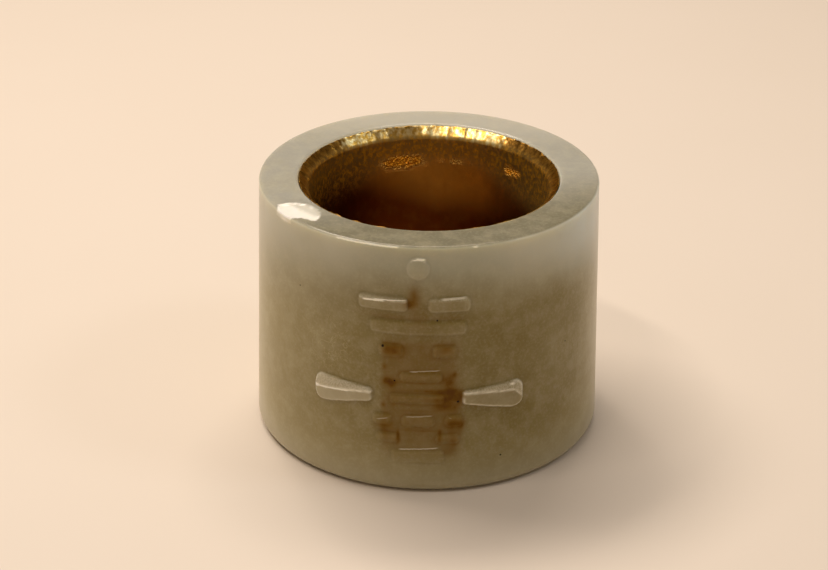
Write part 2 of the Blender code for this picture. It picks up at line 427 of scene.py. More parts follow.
# %% The chip on the rim
CHIP_ANGLE = math.radians(-51.5)
CHIP_OUTLINE = (
    (-2.10, 0.45), (-2.14, 1.20), (-1.79, 2.10), (-0.91, 2.80), (0.42, 3.05), (1.70, 2.75),
    (2.50, 2.30), (2.77, 1.82), (3.08, 1.17), (2.23, 0.91), (1.63, 0.66), (1.27, 0.23),
    (0.95, -0.10), (0.00, -0.50), (-1.00, -0.50), (-1.45, 0.02),
)
CHIP_DEPTH = 0.17
CHIP_SLOPE = 0.5
CHIP_EDGE = 0.08
CHIP_NOTCHES = (0.10, 0.5)
CHIP_CRUMBS = (0.05, 0.22)
CHIP_FLOOR = (0.2, 0.7)
BRUISE_REACH = 1.75
BRUISE_LEAN = 0.13
BRUISE_FADE = (-0.25, 0.35)
BRUISE_LOSS = 0.78
print(f"chip: {CHIP_DEPTH} mm deep, {CHIP_OUTLINE[8][0] - CHIP_OUTLINE[1][0]:.1f} mm along the rim")


def inside_depth(along, inward, outline):
    """Distance from an outline's sides, positive inside it and negative outside."""
    nearest = np.full(along.shape, 1e9)
    crossings = np.zeros(along.shape, int)
    for (x0, y0), (x1, y1) in zip(outline, outline[1:] + outline[:1]):
        share = ((along - x0) * (x1 - x0) + (inward - y0) * (y1 - y0)) / ((x1 - x0) ** 2 + (y1 - y0) ** 2)
        share = np.clip(share, 0.0, 1.0)
        away = np.hypot(along - x0 - share * (x1 - x0), inward - y0 - share * (y1 - y0))
        nearest = np.minimum(nearest, away)
        if y0 != y1:
            beside = x0 + (inward - y0) * (x1 - x0) / (y1 - y0)
            crossings += ((y0 > inward) != (y1 > inward)) & (along < beside)
    return np.where(crossings % 2 == 1, nearest, -nearest)


def chip_marks(points, radius, angle):
    """How deep the chip is below the rim at each point, its mark, and how white its floor is made."""
    along = (angle - CHIP_ANGLE) * RIM_RADIUS
    inward = RIM_RADIUS - radius
    ragged = uneven(points, CHIP_NOTCHES, 11) + uneven(points, CHIP_CRUMBS, 12)
    inner = inside_depth(along, inward, CHIP_OUTLINE) + ragged
    depth = CHIP_DEPTH * smooth(0.0, CHIP_SLOPE, inner) * (0.8 + uneven(points, CHIP_FLOOR, 13))
    past_bruise = inward - BRUISE_REACH - BRUISE_LEAN * along + 2.0 * ragged
    white = 1.0 - BRUISE_LOSS * smooth(*BRUISE_FADE, past_bruise)
    chipped = smooth(0.0, CHIP_EDGE, inner)
    return depth, chipped, chipped * white


# %% [markdown]
# ## Stain and painted groove shade
# Brown stain lies between the strokes. It isn't raised, so it isn't shaped: the mesh keeps, as a value
# on each point of the wall, how brown the stone is, and the material turns that into colour. A soft
# panel gives the ground tone and a table of spots the rest: middle, size both ways, and strength. Two
# long, thin spots in the table darken the groove between the first and second rows as painted shade.

# %% The stains' places, and the painted shade in the groove between the first two rows
PANEL_STRENGTH = 0.46
PANEL_LEFT = (-3.5, -2.8)
PANEL_RIGHT = (2.7, 4.6)
PANEL_FOOT = (3.0, 5.4)
PANEL_TOP = (14.2, 16.2)
STAINS = (
    (-0.35, 19.5, 0.5, 0.9, 0.8), (-0.8, 18.7, 0.5, 0.4, 0.9), (0.0, 17.6, 1.0, 1.4, 0.3),
    # The two long spots at 17.4 mm up are painted shade in the groove between the first two rows.
    (-2.6, 17.4, 1.9, 0.3, 0.4), (2.6, 17.4, 1.7, 0.3, 0.3), (-2.3, 14.2, 0.9, 0.6, 0.6),
    (-1.0, 14.7, 1.8, 0.3, 0.15), (2.4, 14.5, 0.8, 0.5, 0.35), (-2.95, 12.5, 0.2, 0.3, 0.5),
    (-2.5, 11.1, 0.6, 0.35, 1.0), (-2.2, 10.7, 0.3, 0.3, 0.5), (2.8, 11.2, 0.6, 0.8, 0.6),
    (3.3, 11.9, 0.2, 0.25, 0.6), (2.3, 10.2, 1.3, 0.3, 0.6), (3.2, 9.9, 0.7, 0.6, 0.75),
    (3.8, 9.5, 0.3, 0.7, 0.5), (2.2, 9.5, 1.2, 0.25, 0.5), (2.4, 8.8, 0.9, 0.5, 0.6),
    (3.4, 8.6, 0.5, 0.6, 0.4), (0.0, 11.1, 2.2, 0.14, 0.25), (0.3, 10.35, 1.8, 0.14, 0.35),
    (0.2, 8.3, 1.6, 0.14, 0.25), (-3.0, 8.7, 0.25, 0.3, 0.5), (-2.1, 8.8, 0.2, 0.2, 0.4),
    (-3.1, 6.6, 0.8, 0.7, 0.5), (3.4, 7.1, 0.9, 0.5, 0.6), (3.9, 6.7, 0.3, 0.8, 0.5),
    (3.3, 5.3, 0.5, 1.4, 0.35), (2.8, 4.2, 0.5, 0.5, 0.4), (-1.65, 5.7, 0.13, 0.7, 0.6),
    (2.0, 5.8, 0.15, 0.6, 0.6), (0.2, 6.35, 2.0, 0.12, 0.35),
)
print("stains:", len(STAINS))


def stain_marks(along, up):
    """How brown the wall is: a panel of stain between the wings, darker spots in it, and painted groove
    shade.
    """
    panel = smooth(*PANEL_LEFT, along) * (1.0 - smooth(*PANEL_RIGHT, along))
    amount = PANEL_STRENGTH * panel * smooth(*PANEL_FOOT, up) * (1.0 - smooth(*PANEL_TOP, up))
    for middle_along, middle_up, wide, tall, strength in STAINS:
        beside = (along - middle_along) / wide
        above = (up - middle_up) / tall
        amount = amount + strength * np.exp(-(beside**2) - above**2)
    return amount


# %% [markdown]
# ## The jade's mesh
# Now the section is turned, and each point is moved by what lies there. Slow waves about a hundredth of
# a millimetre high stand for polishing by hand, without which the wall would reflect like a machined
# tube, and the rim's edge is worn a little unevenly.

# %% The jade's mesh
WOBBLE_SIZES = (0.8, 0.3)
GRAIN_SIZE = 0.35
WAVE_HEIGHT = 0.012
WAVE_SIZES = (5.0, 1.6)
WEAR_DEPTH = 0.04
WEAR_SIZE = 0.45
WEAR_ZONE = (HEIGHT - 0.5, HEIGHT - 0.1)
BAND_MARGIN = 1.0
TOP_ZONE = HEIGHT - RIM_BEVEL - 0.3
CHIP_ZONE = HEIGHT - 0.6
BRUISE_EDGE = (HEIGHT - 0.34, HEIGHT - 0.2)


def build_jade():
    """The jade's mesh with its carving, chip, stains and polished waves."""
    section, on_wall = jade_section()
    radius, height, angle = spread(section, jade_angles())
    signed = np.where(angle > math.pi, angle - 2.0 * math.pi, angle)
    base = grid_points(radius, height, angle)
    carving = carve(
        signed * ARC_RADIUS, height, layered(base, WOBBLE_SIZES, 1), lumps(base, GRAIN_SIZE, 6)
    )
    band = on_wall[:, None] & (np.abs(signed * ARC_RADIUS) < REACH + BAND_MARGIN)
    raised = np.where(band, carving.height, 0.0)
    outer = (radius > THROAT_RADIUS + MOUTH_ROUND) & (height > 0.0)
    waves = WAVE_HEIGHT * layered(base, WAVE_SIZES, 3)
    near_rim = smooth(*WEAR_ZONE, height) * (radius > RIM_RADIUS - RIM_BEVEL - 0.05)
    wear = WEAR_DEPTH * np.clip(lumps(base, WEAR_SIZE, 5), 0.0, 1.0) * near_rim
    polished = np.where(on_wall[:, None], waves - WAVE_HEIGHT, 0.0) * outer
    radius = radius + raised + polished - wear
    depth, chipped, bruise = chip_marks(base, radius, signed)
    height = np.where(height > TOP_ZONE, np.minimum(height, HEIGHT - depth), height)
    points = grid_points(radius, height, angle)
    on_chip = (height > CHIP_ZONE) & (radius > THROAT_RADIUS + 0.1)
    over_edge = smooth(*BRUISE_EDGE, height)
    marks = {name: np.where(band, values, 0.0) for name, values in carving.marks.items()}
    marks["stain"] = np.where(band, stain_marks(signed * ARC_RADIUS, height), 0.0)
    marks["chip"] = chipped * on_chip
    marks["bruise"] = bruise * on_chip * (0.2 + 0.8 * over_edge)
    return ring_object("jade_body", points, marks)


jade = build_jade()

# %% [markdown]
# ## The gilt sleeve
# The sleeve is thin sheet metal that was beaten over the jade's mouth, so its lip is a bell of narrow
# upright facets that end in a ragged edge. It is made as the same kind of grid. Each column leans a
# little in or out by a stepped noise of its angle, strongest on the lip, which gives facets with sharp
# joints, and the lip's last rows end at an uneven height. The mesh also keeps where the lip is rubbed
# bright and painted whiter as painted highlight, where a dull film of dust and painted shade lies under
# it, where painted shade lies deep in the bore, and where the gilding is rough.

# %% The sleeve's section: a straight cone at the lip, then a bell that runs into the bore
LIP_RADIUS = 11.86
LIP_DROP = 0.14
LIP_EDGE = 0.1
CONE_DEPTH = 0.6
BELL_DEPTH = 2.0 * (LIP_RADIUS - THUMB_RADIUS) - CONE_DEPTH
BELL_STEPS = 25
BORE_STEP = 0.35
print(f"lip: {LIP_RADIUS - THUMB_RADIUS:.2f} mm wide and {BELL_DEPTH:.2f} mm deep")


def lining_section():
    """The sleeve's section from its lower lip up the outside, over the upper lip and down the bore."""
    outer = THUMB_RADIUS + LINING_WALL
    seat_end = MOUTH_ROUND + MOUTH_FLARE_DEPTH
    outside = np.array([
        (LIP_RADIUS, LIP_DROP + LIP_EDGE),
        (outer, seat_end),
        (outer, HEIGHT - seat_end),
        (LIP_RADIUS, HEIGHT - LIP_DROP - LIP_EDGE),
    ])
    depth = np.linspace(0.0, BELL_DEPTH, BELL_STEPS)
    past_cone = np.clip(depth - CONE_DEPTH, 0.0, None)
    radius = LIP_RADIUS - depth + past_cone**2 / (2.0 * (BELL_DEPTH - CONE_DEPTH))
    upper = np.stack([radius, HEIGHT - LIP_DROP - depth], axis=1)
    lower = np.stack([upper[::-1, 0], HEIGHT - upper[::-1, 1]], axis=1)
    bore = line(upper[-1], lower[0], BORE_STEP)
    return np.concatenate([outside, upper, bore, lower]), len(outside)


# %% [markdown]
# The worn places and the painted highlights are tables. A stretch that is burnished and painted whiter
# as painted highlight has its two ends in degrees round the ring from the front, and its strength. A
# rough patch has its middle and spread in degrees, its middle and spread in millimetres below the rim,
# and its strength. The film, which holds dust and painted shade, reaches further down at the sides of
# the hole than at its front and back, so where it thins and where it is gone are given with what they
# grow by.

# %% Facets, worn places and painted highlights
FACET_WIDTH = 0.5
FACET_DEPTH = 0.075
BURNISHED = ((145.0, 187.0, 1.0), (187.0, 211.0, 0.35), (211.0, 228.0, 0.85))
BURNISHED_FADE = 3.0
BURNISHED_WAVER = 5.0
PITTED = ((197.0, 9.5, 3.45, 0.6, 1.4), (137.5, 4.5, 3.1, 0.5, 1.1), (170.0, 9.0, 3.4, 0.3, 0.5))
print("burnished stretches:", len(BURNISHED), "rough patches:", len(PITTED))


def facets(angle, seed):
    """Stepped noise round the ring: flat facets of uneven width and lean, the same all the way up."""
    count = round(2.0 * math.pi * LIP_RADIUS / FACET_WIDTH)
    random = np.random.default_rng(seed)
    joints = (np.arange(count) + random.uniform(-0.35, 0.35, count)) * 2.0 * math.pi / count
    joints = np.append(joints, joints[0] + 2.0 * math.pi)
    depths = random.uniform(-1.0, 1.0, count)
    depths = np.append(depths, depths[0])
    return np.interp((angle - joints[0]) % (2.0 * math.pi) + joints[0], joints, depths)


def pitted(angle, depth, ragged):
    """Patches at the back where the gilding is rough: each an angle and a depth with their sizes."""
    mark = np.zeros_like(angle)
    for middle, wide, down, tall, strength in PITTED:
        beside = (np.degrees(angle) - middle) / wide
        mark = np.maximum(mark, strength * np.exp(-(beside**2) - ((depth - down) / tall) ** 2))
    return smooth(0.15, 0.75, mark * (1.0 + ragged))


def burnished(angle, ragged):
    """Stretches of the lip rubbed bright and painted whiter as highlight, each from one angle to another."""
    mark = np.zeros_like(angle)
    degrees = np.degrees(angle) + BURNISHED_WAVER * ragged
    for start, end, strength in BURNISHED:
        begun = smooth(start - BURNISHED_FADE, start + BURNISHED_FADE, degrees)
        ended = smooth(end - BURNISHED_FADE, end + BURNISHED_FADE, degrees)
        mark = mark + strength * begun * (1.0 - ended)
    return mark


# %% The sleeve's mesh: its dents, its dishes and its edge's notches and waves are heights and sizes
LINING_COLUMNS = 600
FACET_SEED = 7
BORE_SHARE = 0.06
DENTS = (0.008, 0.4)
DISHES = (0.015, 2.4)
EDGE_NOTCHES = (0.07, 0.5)
EDGE_WAVES = (0.05, 1.7)
EDGE_FADE = (0.16, 0.36)
END_MARGIN = 0.07
STREAK_WIDTH = 0.35
LIP_FADE = (0.5, 1.5)
SIDE_FADE = (3.0, 9.5)
FILM_BEGINS = (0.3, 1.1)
FILM_THINS = (2.1, 1.0)
FILM_GONE = (4.2, 3.2)
# Where painted shade deep in the bore begins and is full, in millimetres below the rim; it reaches higher at
# the left.
DEEP_FADE = (5.0, 9.5)
DEEPER_AT_LEFT = 0.4
PATCH_LUMPS = 0.7


def build_lining():
    """The sleeve's mesh with its beaten lip."""
    section, outside = lining_section()
    angles = np.arange(LINING_COLUMNS) * 2.0 * math.pi / LINING_COLUMNS
    radius, height, angle = spread(section, angles)
    base = grid_points(radius, height, angle)
    inside = np.arange(len(section))[:, None] >= outside
    from_end = np.minimum(height, HEIGHT - height)
    streak = lumps(base * np.array([1.0, 1.0, 0.0]), STREAK_WIDTH, 25)
    shine = burnished(angle, streak)
    on_lip = 1.0 - smooth(*LIP_FADE, from_end - 0.35 * streak * shine)
    beaten = facets(angle, FACET_SEED) * FACET_DEPTH * (BORE_SHARE + (1.0 - BORE_SHARE) * on_lip)
    upright = base * np.array([1.0, 1.0, 0.2])
    dents = uneven(upright, DENTS, 21) + uneven(base, DISHES, 22)
    radius = radius + np.where(inside, beaten + dents, 0.0)
    ragged = uneven(base, EDGE_NOTCHES, 23) + uneven(base, EDGE_WAVES, 24)
    upward = np.where(height > HEIGHT / 2, 1.0, -1.0)
    height = height + upward * ragged * (1.0 - smooth(*EDGE_FADE, from_end))
    radius = np.minimum(radius, LIP_RADIUS + 0.03)
    height = np.clip(height, END_MARGIN, HEIGHT - END_MARGIN)
    aside = smooth(*SIDE_FADE, np.abs(base[..., 0]))
    from_left = np.clip(-base[..., 0], 0.0, None)
    film_begun = smooth(*FILM_BEGINS, from_end - (0.35 + 0.4 * streak) * (0.4 + shine))
    film_ended = smooth(grown(FILM_THINS, aside), grown(FILM_GONE, aside), from_end)
    marks = {
        "lip": np.where(inside, on_lip, 0.0),
        "shine": shine,
        # The film holds dust, and its dark tone is also painted shade.
        "film": film_begun * (1.0 - film_ended),
        # deep: where painted shade lies deep in the bore.
        "deep": smooth(*DEEP_FADE, HEIGHT - height + DEEPER_AT_LEFT * from_left),
        "pits": pitted(angle, HEIGHT - height, lumps(base, PATCH_LUMPS, 26)),
    }
    return ring_object("gilt_sleeve", grid_points(radius, height, angle), marks)


lining = build_lining()

# %% [markdown]
# ## Sums of sockets
# A material is worked out by nodes. Writing each Math node by hand hides the idea, so a small class
# wraps a node's output and lets Python's operators add the Math nodes: `1 - mask * 0.4` builds two of
# them. Colours and vectors don't go through Math nodes, which would turn them grey, but through Mix
# and Vector Math.

# %% A wire
def operator(operation, reflected=False):
    """A Python operator that adds a Math node."""

    def apply(self, other):
        first, second = (other, self) if reflected else (self, other)
        return self.recipe.math(operation, first, second)

    return apply


class Wire:
    """A node's output that can be used in Python sums."""

    def __init__(self, recipe, socket):
        self.recipe = recipe
        self.socket = socket

    __add__ = __radd__ = operator("ADD")
    __sub__ = operator("SUBTRACT")
    __rsub__ = operator("SUBTRACT", reflected=True)
    __mul__ = __rmul__ = operator("MULTIPLY")
    __truediv__ = operator("DIVIDE")
    __rtruediv__ = operator("DIVIDE", reflected=True)


# %% [markdown]
# A recipe is one material while its nodes are added. All nodes come from one method; the others only
# name what they add. Values that are the same all over go straight onto the shader's own sockets.

# %% A recipe
class Recipe:
    """A Principled material while its nodes are being added."""

    def __init__(self, name, **constants):
        self.material = bpy.data.materials.new(name)
        self.material.use_nodes = True
        self.tree = self.material.node_tree
        self.shader = self.tree.nodes["Principled BSDF"]
        for socket, value in constants.items():
            self.shader.inputs[socket.replace("_", " ")].default_value = value

    def node(self, kind, settings=None, inputs=None, output=0):
        """Add a node: first its settings, then the values or wires of its sockets."""
        made = self.tree.nodes.new(kind)
        for name, value in (settings or {}).items():
            setattr(made, name, value)
        for name, value in (inputs or {}).items():
            if isinstance(value, Wire):
                self.tree.links.new(value.socket, made.inputs[name])
            else:
                made.inputs[name].default_value = value
        return Wire(self, made.outputs[output])

    def math(self, operation, first, second=0.0):
        """A Math node of one or two values."""
        return self.node("ShaderNodeMath", {"operation": operation}, {0: first, 1: second})

    def blend(self, factor, first, second):
        """Mix two colours, each a wire or a colour of four numbers."""
        settings = {"data_type": "RGBA", "clamp_factor": True}
        return self.node("ShaderNodeMix", settings, {0: factor, 6: first, 7: second}, output=2)

    def between(self, value, low, high):
        """0 where the value is at low, 1 where it is at high, with an easy curve between them."""
        settings = {"interpolation_type": "SMOOTHSTEP", "clamp": True}
        return self.node("ShaderNodeMapRange", settings, {"Value": value, "From Min": low, "From Max": high})

    def mark(self, name):
        """A value that the mesh keeps on its points."""
        return self.node("ShaderNodeAttribute", {"attribute_name": name}, output="Fac")

    def spot(self, along, up, centre, size):
        """1 at a spot of the wall, fading to 0 over its size. Both are (along, up) in millimetres."""
        beside = (along - centre[0]) / size[0]
        above = (up - centre[1]) / size[1]
        return self.math("EXPONENT", 0.0 - (beside * beside + above * above))

    def noise(self, place, size, detail=3.0, roughness=0.55, distortion=0.0):
        """Noise from 0 to 1 with lumps of about size millimetres."""
        values = {"Vector": place, "Scale": 1.0 / size, "Detail": detail, "Roughness": roughness}
        return self.node("ShaderNodeTexNoise", None, {**values, "Distortion": distortion})

    def place(self, stretch=(1.0, 1.0, 1.0)):
        """The piece's own coordinates in millimetres, stretched along each axis."""
        own = self.node("ShaderNodeTexCoord", output="Object")
        scale = tuple(value / MM for value in stretch)
        return self.node("ShaderNodeVectorMath", {"operation": "MULTIPLY"}, {0: own, 1: scale})

    def axes(self, place):
        """A place's three axes, each as a wire."""
        parts = self.node("ShaderNodeSeparateXYZ", None, {0: place}).socket.node
        return [Wire(self, socket) for socket in parts.outputs]

    def bump(self, height, depth, **below):
        """A Bump node for a height of 0 to 1 that is depth millimetres deep, on the bump below it."""
        return self.node("ShaderNodeBump", None, {"Height": height, "Distance": depth * MM, **below})

    def into(self, socket, wire):
        """Link a wire to one of the shader's sockets."""
        self.tree.links.new(wire.socket, self.shader.inputs[socket])


# %% Colours as on a screen
def shade(red, green, blue):
    """A colour as seen on a screen, 0 to 255, turned into the linear values that nodes take."""
    values = [channel / 255.0 for channel in (red, green, blue)]
    linear = [v / 12.92 if v <= 0.04045 else ((v + 0.055) / 1.055) ** 2.4 for v in values]
    return (*linear, 1.0)


def palette(**colours):
    """A table of named colours, ready for nodes."""
    return {name: shade(*channels) for name, channels in colours.items()}


# %% [markdown]
# ## Jade
# Jade is a felt of fine fibres that lets light in for a few millimetres. Light that enters the bright rim
# comes out again on the wall below it, so the top of the wall looks paler; subsurface light does part of
# that and the colours do the rest. The polish is a thin coat over a duller body, so that it can be weaker
# on the stains and on the frosted bevels.

# %% The jade's colours
JADE = palette(
    # The top and foot tones are painted light, and the olive is partly the stone's tone and partly painted
    # shade.
    top=(200, 199, 181),
    top_middle=(182, 182, 162),
    top_right=(208, 215, 208),
    foot=(190, 183, 156),
    wall=(178, 167, 124),
    olive=(124, 107, 47),
    # The rim's back tone is painted light and its front tone painted shade.
    rim=(160, 158, 146),
    rim_back=(178, 175, 161),
    rim_front=(116, 111, 89),
    cloud=(164, 154, 116),
    mottle=(206, 198, 168),
    vein=(214, 204, 158),
    # The hollow tone is painted shade beside the strokes.
    hollow=(96, 78, 30),
    stain=(120, 84, 8),
    stain_core=(88, 52, 0),
    face=(200, 194, 172),
    frost=(232, 224, 202),
    # The crest tone is for painted highlights.
    crest=(255, 250, 232),
    chip=(214, 210, 198),
    bruise=(248, 243, 230),
    speck=(22, 14, 8),
)
print("jade colours:", len(JADE))

# %% Places on the ring and shared noises, with the noises' sizes in millimetres
CLOUD_SIZE = 7.0
CLOUD_DRIFT = 6.0
WISP_SIZE = 1.6
RIDGE_SIZE = 1.5
GRIT_SIZE = 0.5
FIBRE_SIZE = 0.25
GROUND_SIZE = 0.13


def jade_fields(recipe):
    """Where a point lies on the ring, in millimetres, and the noises that several finishes share."""
    place = recipe.place()
    across, depth, up = recipe.axes(place)
    clouds = recipe.noise(place, CLOUD_SIZE, detail=4.0, distortion=0.4)
    return SimpleNamespace(
        place=place,
        across=across,
        depth=depth,
        up=up,
        along=recipe.math("ARCTAN2", across, 0.0 - depth) * ARC_RADIUS,
        clouds=clouds,
        drift=(clouds - 0.5) * CLOUD_DRIFT,
        wisps=recipe.noise(place, WISP_SIZE, detail=5.0, roughness=0.6),
        grit=recipe.noise(place, GRIT_SIZE, detail=4.0, roughness=0.65),
        fibres=recipe.noise(place, FIBRE_SIZE, detail=3.0),
        ground=recipe.noise(place, GROUND_SIZE, detail=2.0),
    )


# %% [markdown]
# ### Broad tones
# The wall is olive brown round the middle of the front, partly as the stone's own tone and partly as
# painted shade, for that side faces away from the lamps. Its top, its sides and its foot are a paler
# grey-green, painted as painted light, and the top at the right gets a cool painted light. Each tone fades
# in between two places, named in millimetres along the wall from the middle of the front, or up from the
# foot. Slow noise shifts the fades, so that no edge runs straight. The rim is painted lighter at the back
# as painted light and darker at the front as painted shade.

# %% Broad tones
OLIVE_LEFT = (-27.0, -9.0)
OLIVE_MIDDLE = (-13.0, 1.0)
OLIVE_RIGHT = (13.0, 32.0)
OLIVE_TOP = (17.5, 24.7)
OLIVE_FOOT = (-1.0, 8.0)
FRONT_MIDDLE = (3.5, 9.5)
RIGHT_SIDE = (11.0, 18.0)
BACK = (18.0, 34.0)
FOOT_FADE = (0.0, 5.0)
TOP_FADE = (14.0, 22.5)
LOWER_AT_BACK = 8.0
RIM_FACE = (23.93, 24.09)
RIM_BACK = (6.0, 13.0)
RIM_FRONT = (1.0, 12.0)


def olive_share(recipe, at):
    """Olive share, as own tone and painted shade: most round the middle of the front, less near the foot."""
    near_middle = recipe.between(at.along + at.drift, *OLIVE_MIDDLE) * 0.4 + 0.6
    from_left = recipe.between(at.along + at.drift, *OLIVE_LEFT) * near_middle
    front = from_left * (1.0 - recipe.between(at.along - at.drift, *OLIVE_RIGHT))
    lower_at_right = recipe.math("MAXIMUM", at.along, 0.0) * 0.12
    low_down = 1.0 - recipe.between(at.up + at.drift * 0.4 + lower_at_right, *OLIVE_TOP)
    above_foot = recipe.between(at.up + at.drift * 0.3, *OLIVE_FOOT)
    return front * low_down * (0.3 + above_foot * 0.7)


def broad_tones(recipe, at):
    """The wall's and the rim's colours with painted light and shade, before clouds and marks."""
    from_middle = recipe.math("ABSOLUTE", at.along - 1.0 + at.drift * 0.3)
    middle = 1.0 - recipe.between(from_middle, *FRONT_MIDDLE)
    away = recipe.between(recipe.math("ABSOLUTE", at.along), *BACK)
    to_right = recipe.between(at.along, *RIGHT_SIDE) * (1.0 - away)
    # The top of the wall is painted paler as painted light, most at the sides, and cool at the right.
    top = recipe.blend(middle, JADE["top"], JADE["top_middle"])
    top = recipe.blend(to_right, top, JADE["top_right"])
    # The foot is painted paler, as painted light from below.
    wall = recipe.blend(recipe.between(at.up, *FOOT_FADE), JADE["foot"], JADE["wall"])
    shifted = at.up + at.drift * (0.4 + away * 1.6)
    start, end = TOP_FADE
    wall = recipe.blend(recipe.between(shifted, start - away * LOWER_AT_BACK, end), wall, top)
    wall = recipe.blend(olive_share(recipe, at), wall, JADE["olive"])
    # The rim is painted lighter at the back as painted light, and darker at the front as painted shade.
    rim = recipe.blend(recipe.between(at.depth, *RIM_BACK), JADE["rim"], JADE["rim_back"])
    to_front = recipe.between(0.0 - at.depth + at.across * 0.3, *RIM_FRONT)
    rim = recipe.blend(to_front, rim, JADE["rim_front"])
    return recipe.blend(recipe.between(at.up, *RIM_FACE), wall, rim)


# %% [markdown]
# ### Clouds and veins
# Polished jade is cloudy at several scales: broad clouds, wisps, and fibres that can just be seen. A few
# pale veins lie at the left of the front; a vein is where noise crosses its middle value.

# %% Clouds and veins: how strong each is, and the places of those that lie in one spot
CLOUD_SHARE = 0.22
WISP_SHARE = 0.14
FIBRE_SHARE = 0.1
VEIN_SHARE = 0.3
VEIN_WIDTH = 0.016
VEIN_PATCH = ((-8.4, 13.4), (3.2, 2.8))
PALE_CLOUD = ((-9.6, 14.0), (1.7, 1.3))
PALE_STREAK = ((-12.0, 17.5), (1.2, 2.0))
PALE_SHARE = 0.22


def clouded(recipe, at, body):
    """Clouds, wisps, fibres and veins over the broad tones."""
    body = recipe.blend(recipe.between(at.clouds, 0.45, 0.7) * CLOUD_SHARE, body, JADE["cloud"])
    pale_cloud = recipe.spot(at.along, at.up, *PALE_CLOUD)
    pale_cloud = pale_cloud + recipe.spot(at.along, at.up, *PALE_STREAK) * 0.7
    mottle = recipe.between(at.wisps, 0.4, 0.68) * WISP_SHARE + pale_cloud * at.wisps * PALE_SHARE
    body = recipe.blend(mottle, body, JADE["mottle"])
    body = recipe.blend(recipe.between(at.fibres, 0.45, 0.7) * FIBRE_SHARE, body, JADE["mottle"])
    ridges = recipe.noise(at.place, RIDGE_SIZE, detail=3.0, distortion=0.8)
    veins = 1.0 - recipe.between(recipe.math("ABSOLUTE", ridges - 0.5), 0.0, VEIN_WIDTH)
    veins = veins * recipe.spot(at.along, at.up, *VEIN_PATCH)
    return recipe.blend(veins * VEIN_SHARE, body, JADE["vein"])


# %% [markdown]
# ### Stain, painted shade, strokes and damage
# Fine noise breaks the stain up, and its core is the darkest. The hollows beside the strokes get painted
# shade. The strokes' faces are a little paler than the wall and their ground bevels are frosted.
# Highlights along the crests, on the boss and on the rim's bevel are painted as light colour. The finest
# are thinner than the mesh's rows, so a table of short lines adds them, and a second table adds black
# specks.

# %% Stain: where its core begins and is full; strength of the core, of the hollows' stain and painted shade
CORE_FADE = (0.7, 1.5)
CORE_SHARE = 0.75
HOLLOW_STAIN_SHARE = 0.2
HOLLOW_SHARE = 0.13


def stain_share(recipe, at):
    """Stain and painted groove shade: the mesh's mark, broken up by grit, and a little more in the hollows.
    """
    stain = recipe.mark("stain") * (0.15 + at.grit * 0.9 + at.wisps * 0.7)
    return stain + recipe.mark("hollow") * recipe.between(stain, 0.1, 0.5) * HOLLOW_STAIN_SHARE


def stained(recipe, stain, body):
    """Painted shade in the hollows beside the strokes, the stain, and its core."""
    body = recipe.blend(recipe.mark("hollow") * HOLLOW_SHARE, body, JADE["hollow"])
    body = recipe.blend(stain, body, JADE["stain"])
    return recipe.blend(recipe.between(stain, *CORE_FADE) * CORE_SHARE, body, JADE["stain_core"])


# %% Frosted bevels and painted highlight lines on the crests, the boss and the rim's bevel: each line's
# start and end along the wall, its height at both ends, its width and its strength
CREST_LINES = (
    (-5.0, -2.8, 18.88, 18.95, 0.13, 1.0),
    (-4.0, -0.9, 19.02, 19.12, 0.06, 0.8),
    (1.9, 4.4, 19.22, 19.30, 0.13, 0.55),
    (-0.8, 2.1, 12.18, 12.34, 0.07, 0.34),
    (-1.1, 1.5, 7.75, 7.88, 0.07, 0.26),
    (-3.7, -2.4, 7.22, 7.52, 0.07, 0.28),
    (2.7, 3.1, 7.72, 7.60, 0.09, 0.4),
    (-1.7, 2.0, 4.40, 4.62, 0.08, 0.45),
    (-9.8, -6.0, 9.20, 9.62, 0.09, 0.9),
    (-9.8, -9.0, 9.28, 9.28, 0.22, 0.9),
    (8.2, 9.0, 10.26, 10.20, 0.15, 0.8),
    (-0.65, 0.1, 22.86, 22.98, 0.07, 0.7),
    (-0.3, 0.75, 23.02, 22.96, 0.12, 1.0),
    (-7.8, -1.6, 23.95, 23.95, 0.10, 0.7),
    (4.6, 5.4, 23.95, 23.95, 0.10, 0.7),
)
LINE_END = 0.4
LINE_WAVER = 0.12
LINE_CORE = 0.3
FACE_SHARE = 0.42
CREST_SHARE = 0.95


def crest_line(recipe, at, start, end, first, last, width):
    """1 on a short line of the wall, fading to 0 beside it and at its ends."""
    middle = (at.along - start) * ((last - first) / (end - start)) + first
    beside = recipe.math("ABSOLUTE", at.up - middle + (at.grit - 0.5) * LINE_WAVER)
    begun = recipe.between(at.along, start, start + LINE_END)
    within = begun * (1.0 - recipe.between(at.along, end - LINE_END, end))
    return (1.0 - recipe.between(beside, width * LINE_CORE, width)) * within


def frosted(recipe, at, body):
    """Paler faces, frost on the bevels, and painted highlights on the crests, the boss and the rim's bevel.
    """
    body = recipe.blend(recipe.mark("pale") * FACE_SHARE, body, JADE["face"])
    sparkle = recipe.between(at.ground, 0.35, 0.65) * 0.45 + 0.15
    body = recipe.blend(recipe.mark("frost") * sparkle, body, JADE["frost"])
    crest = recipe.mark("crest") * CREST_SHARE
    for *line_shape, strength in CREST_LINES:
        crest = crest + crest_line(recipe, at, *line_shape) * strength * (0.5 + at.grit)
    return recipe.blend(crest, body, JADE["crest"])


# %% The chip's white patch, a little of which spills onto the wall, and each speck's place and size
CHIP_SHARE = 0.35
SPILL = ((-14.3, 23.6), (0.6, 0.22))
SPECKS = (
    ((-3.05, 14.55), 0.14),
    ((1.7, 17.2), 0.10),
    ((-2.0, 11.2), 0.10),
    ((3.6, 9.2), 0.13),
    ((15.0, 12.3), 0.08),
    ((7.6, 3.2), 0.10),
    ((-11.8, 18.1), 0.07),
)


